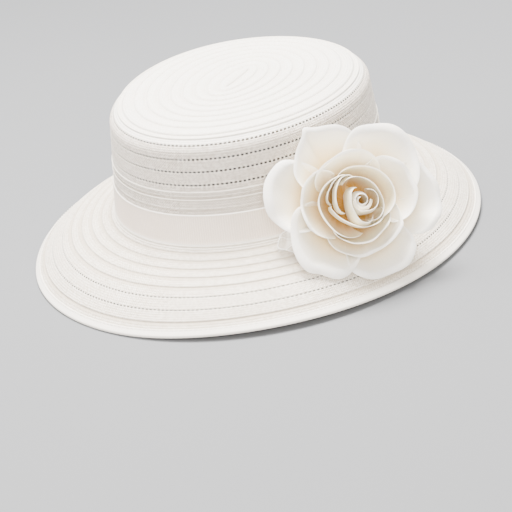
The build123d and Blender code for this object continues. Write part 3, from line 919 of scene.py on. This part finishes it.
def edge_tube(mesh, radius, start, stop, steps, inner=0.0):
    """A round bar inside the edge fold between two angles, or with an inner radius a tube."""
    turns = np.linspace(0, 2 * math.pi, 12, endpoint=False)
    angles = np.linspace(start, stop, steps + 1)
    places = [(angle, radius) for angle in angles] + [(angle, inner) for angle in angles[::-1]] * (inner > 0)
    rows = []
    for angle, size in places:
        section = np.array([edge_point(WIRE_ALONG + size * math.cos(t), size * math.sin(t)) for t in turns])
        rows.append(oval(angle, BRIM_LINE.at(*section.T)))
    uv = uv_grid(np.arange(len(rows) + (inner > 0)), np.linspace(0, 2 * math.pi * radius, len(turns) + 1))
    mesh.grid(np.array(rows), uv, inner > 0, True)
    if not inner:
        mesh.cap(len(turns))
        mesh.cap(len(turns), len(rows) - 1)


def make_edge():
    angles, length = even_angles(BRIM[-1][0], 1200)
    mesh = Mesh()
    ring(mesh, BRIM_LINE, binding_section, angles, length)
    finish_piece(mesh.piece("brim_edge_fold", BINDING), "binding", "brim_edge_binding")
    wire, joiner = Mesh(), Mesh()
    apart, half = WIRE_END_GAP / HALF_LENGTH, JOINER_LENGTH / 2 / (HALF_LENGTH + BRIM[-1][0])
    edge_tube(wire, WIRE_R, math.pi + apart, 3 * math.pi - apart, 360)
    finish_piece(wire.piece("brim_wire_bent", wire_material()), "edge_wire", "brim_edge_wire")
    edge_tube(joiner, JOINER_R, math.pi - half, math.pi + half, 8, WIRE_R + JOINER_PLAY)
    finish_piece(joiner.piece("wire_joiner_tube", tube_material()), "joiner", "wire_joiner")
    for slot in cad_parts["rose_stem"].material_slots:
        slot.material = stem_material()


def make_ribbons():
    band = ribbon("hat_band_ribbon", BAND_LOW, BAND_HIGH, BAND_NEAR, BAND_THICK, RIBBON)
    finish_piece(band, "ribbon", "hat_band")
    spread = TAB_LENGTH / 2 / HALF_LENGTH
    near = BAND_NEAR + BAND_THICK + LAYER_GAP
    tab = ribbon("band_join_fold", BAND_LOW, BAND_HIGH, near, BAND_THICK, RIBBON, ROSE_SIDE - spread,
                 ROSE_SIDE + spread)
    finish_piece(tab, "ribbon", "band_join_tab")
    near = -SWEATBAND_NEAR - SWEATBAND_THICK
    sweat = ribbon("sweatband_ribbon", SWEATBAND_LOW, SWEATBAND_HIGH, near, SWEATBAND_THICK, SWEAT)
    finish_piece(sweat, "sweatband", "sweatband")


def make_rose():
    petals = rose_petals(SILK, SILK_WHITE)
    bud = rose_bud(SILK)
    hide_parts("rose_bud")
    for made in [*petals, bud]:
        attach(made, "root")
    finish_piece(rose_calyx(calyx_material()), "calyx_cloth", "rose_calyx")


def make_backing():
    """The felt disc, which bends with the crown: a soft rounded edge and a slightly uneven face."""
    low, high = (np.array(corner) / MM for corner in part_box("rose_backing"))
    height = (low[2] + high[2]) / 2 - HEADLINE
    radius = (high[2] - low[2]) / 2
    around = np.linspace(0, 2 * math.pi, FELT_STEPS, endpoint=False)
    rows = []
    near = BAND_NEAR + 2 * BAND_THICK + FELT_CLEAR
    for share, off in FELT:
        rough = 1 + FELT_ROUGH * np.sin(around * 11) * share
        z = height + radius * share * rough * np.sin(around)
        angle = ROSE_SIDE + radius * share * rough * np.cos(around) / (HALF_LENGTH - 4)
        place = WALL_LINE.at(WALL_LINE.length + WALL_FOOT - z, np.full_like(z, near + off))
        rows.append(oval(angle, place))
    mesh = Mesh()
    uv = uv_grid(np.linspace(0, 12, len(rows)), np.linspace(0, 80, FELT_STEPS + 1))
    mesh.grid(np.array(rows), uv, False, True)
    finish_piece(mesh.piece("rose_felt_pad", felt_material()), "felt", "rose_backing")


def make_leaf():
    """A sheer leaf that lies on the brim: crinkled organza with a bound edge and veins."""
    foot = np.array(LEAF_FOOT)
    along = np.array(LEAF_TIP) - foot
    long = np.linalg.norm(along)
    along = along / long
    side = np.array([-along[1], along[0]])

    def place(u, v):
        """A point of the leaf, u across from -1 to 1 and v from foot to tip."""
        wide = LEAF_HALF * np.sin(math.pi * np.clip(v, 0, 1) ** 1.15) ** 0.7
        flat = foot + along * long * v[..., None] + side * (u * wide)[..., None]
        folds = 0.9 * np.sin(v * 19 + u * 3) * np.abs(u) + 0.6 * np.sin(v * 33 - u * 5)
        lift = LEAF_LIFT + folds * 0.8 + LEAF_EDGE_LIFT * np.abs(u) ** 1.5 + LEAF_FOOT_LIFT * (1 - v)
        out = np.array([oval_out(*p) for p in flat.reshape(-1, 2)]).reshape(flat.shape[:-1])
        pushed = np.clip(LEAF_CLEAR - out, 0, None)
        flat = flat * (1 + pushed / np.hypot(flat[..., 0], flat[..., 1]))[..., None]
        out = out + pushed
        bent = edge_lift(np.arctan2(flat[..., 0], -flat[..., 1])) * (out / BRIM[-1][0]) ** 2
        ground = np.interp(out, BRIM_LINE.line[:, 0], BRIM_LINE.line[:, 1]) + bent
        return np.concatenate([flat, (HEADLINE + ground + lift + pushed)[..., None]], axis=-1)

    rim_v = np.linspace(0, 1, LEAF_ROWS)
    u, v = np.meshgrid(np.linspace(-1, 1, LEAF_COLUMNS), rim_v, indexing="ij")
    points = place(u, v)
    mesh = Mesh()
    mesh.grid(points, np.stack([u * 1.2, v * long / 10], axis=-1))
    leaf = mesh.piece("leaf_organza", organza_material())
    thicken(leaf, LEAF_THICK)
    veins = Mesh()
    lines = [(np.full(LEAF_ROWS, s), rim_v, LEAF_RIM_R) for s in (-1.0, 1.0, 0.0)]
    t = np.linspace(0, 1, VEIN_POINTS)
    for start in VEIN_STARTS:
        for s in (-1, 1):
            lines.append((s * t, start + VEIN_RISE * t, VEIN_R))
    for us, vs, radius in lines:
        path = place(us, vs)
        for a, b in zip(path, path[1:]):
            bar(veins, a, b, radius)
    rim = veins.piece("leaf_veins", thread_material("leaf_edging", colour(0.95, 0.94, 0.92)))
    declare_cut(leaf, points, held="laid", rests_on=["brim_braid"], with_pieces=[rim])
    finish_piece(leaf, "organza", "rose_leaf")
    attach(rim, "root")


def oval_out(x, y):
    """How far a place, seen from above, lies out from the headline oval."""
    low, high = -60.0, 120.0
    for _ in range(40):
        middle = (low + high) / 2
        if (x / (HALF_WIDTH + middle)) ** 2 + (y / (HALF_LENGTH + middle)) ** 2 > 1:
            low = middle
        else:
            high = middle
    return middle


# -------- camera, light, floor

VIEW_AZIMUTH, VIEW_ELEVATION, VIEW_ROLL = math.radians(30.0), math.radians(22.54), math.radians(8.06)
VIEW_DISTANCE = 1.4
FOCAL = 4.129  # focal length over the picture's width
AIM_RIGHT, AIM_DOWN = 0.0018, 0.036  # the picture's middle, off the headline's middle, as slopes

# Soft lights, in metres and watts
LIGHT_SIZE, LIGHT_AIM = 0.8, (0, 0, 0.05)
LIGHTS = [("top_softbox", (-0.1, 0.1, 1.4), 132, (1.0, 0.96, 0.90)),
          ("left_softbox", (-1.3, -1.0, 0.9), 30, (1.0, 0.96, 0.92)),
          ("front_softbox", (0.9, -1.4, 0.8), 46, (1.0, 0.92, 0.82))]
SKY_COLOUR, SKY_STRENGTH = (0.95, 0.93, 0.89, 1), 1.3


def make_camera():
    back = Vector((math.sin(VIEW_AZIMUTH) * math.cos(VIEW_ELEVATION),
                   -math.cos(VIEW_AZIMUTH) * math.cos(VIEW_ELEVATION), math.sin(VIEW_ELEVATION)))
    level = Vector((math.cos(VIEW_AZIMUTH), math.sin(VIEW_AZIMUTH), 0))
    upright = back.cross(level)
    right = level * math.cos(VIEW_ROLL) - upright * math.sin(VIEW_ROLL)
    up = level * math.sin(VIEW_ROLL) + upright * math.cos(VIEW_ROLL)
    look = (-back + right * AIM_RIGHT - up * AIM_DOWN).normalized()
    right = look.cross(up).normalized()
    up = right.cross(look)
    camera = bpy.data.objects.new("camera", bpy.data.cameras.new("camera"))
    camera.data.sensor_width = 36.0
    camera.data.lens = FOCAL * camera.data.sensor_width
    spot = Vector((0, 0, HEADLINE * MM)) + back * VIEW_DISTANCE
    camera.matrix_world = Matrix((right, up, -look)).transposed().to_4x4()
    camera.location = spot
    bpy.context.scene.collection.objects.link(camera)
    bpy.context.scene.camera = camera


def area_light(name, place, power, tint):
    light = bpy.data.lights.new(name, "AREA")
    light.shape = "DISK"
    light.size = LIGHT_SIZE
    light.energy = power
    light.color = tint
    lamp = bpy.data.objects.new(name, light)
    lamp.location = place
    lamp.rotation_euler = (Vector(LIGHT_AIM) - Vector(place)).to_track_quat("-Z", "Y").to_euler()
    bpy.context.scene.collection.objects.link(lamp)


def make_studio():
    for light in LIGHTS:
        area_light(*light)
    world = bpy.data.worlds.new("studio")
    bpy.context.scene.world = world
    world.use_nodes = True
    sky = world.node_tree.nodes["Background"]
    sky.inputs["Color"].default_value = SKY_COLOUR
    sky.inputs["Strength"].default_value = SKY_STRENGTH
    n = Nodes("floor_paper")
    grain = n.noise(3.0, 2.0)
    n.finish(Base_Color=n.mix(grain, colour(0.17, 0.178, 0.192), colour(0.18, 0.188, 0.202)), Roughness=0.9,
             Specular_IOR_Level=0.1)
    half = 4000.0
    mesh = Mesh()
    corners = np.array([[(-half, -half, 0), (half, -half, 0)], [(-half, half, 0), (half, half, 0)]])
    mesh.grid(corners, uv_grid([0, half], [0, half]))
    mesh.piece("floor", n.material)


make_camera()
make_studio()
make_crown()
make_brim()
make_edge()
make_ribbons()
make_backing()
make_rose()
make_leaf()
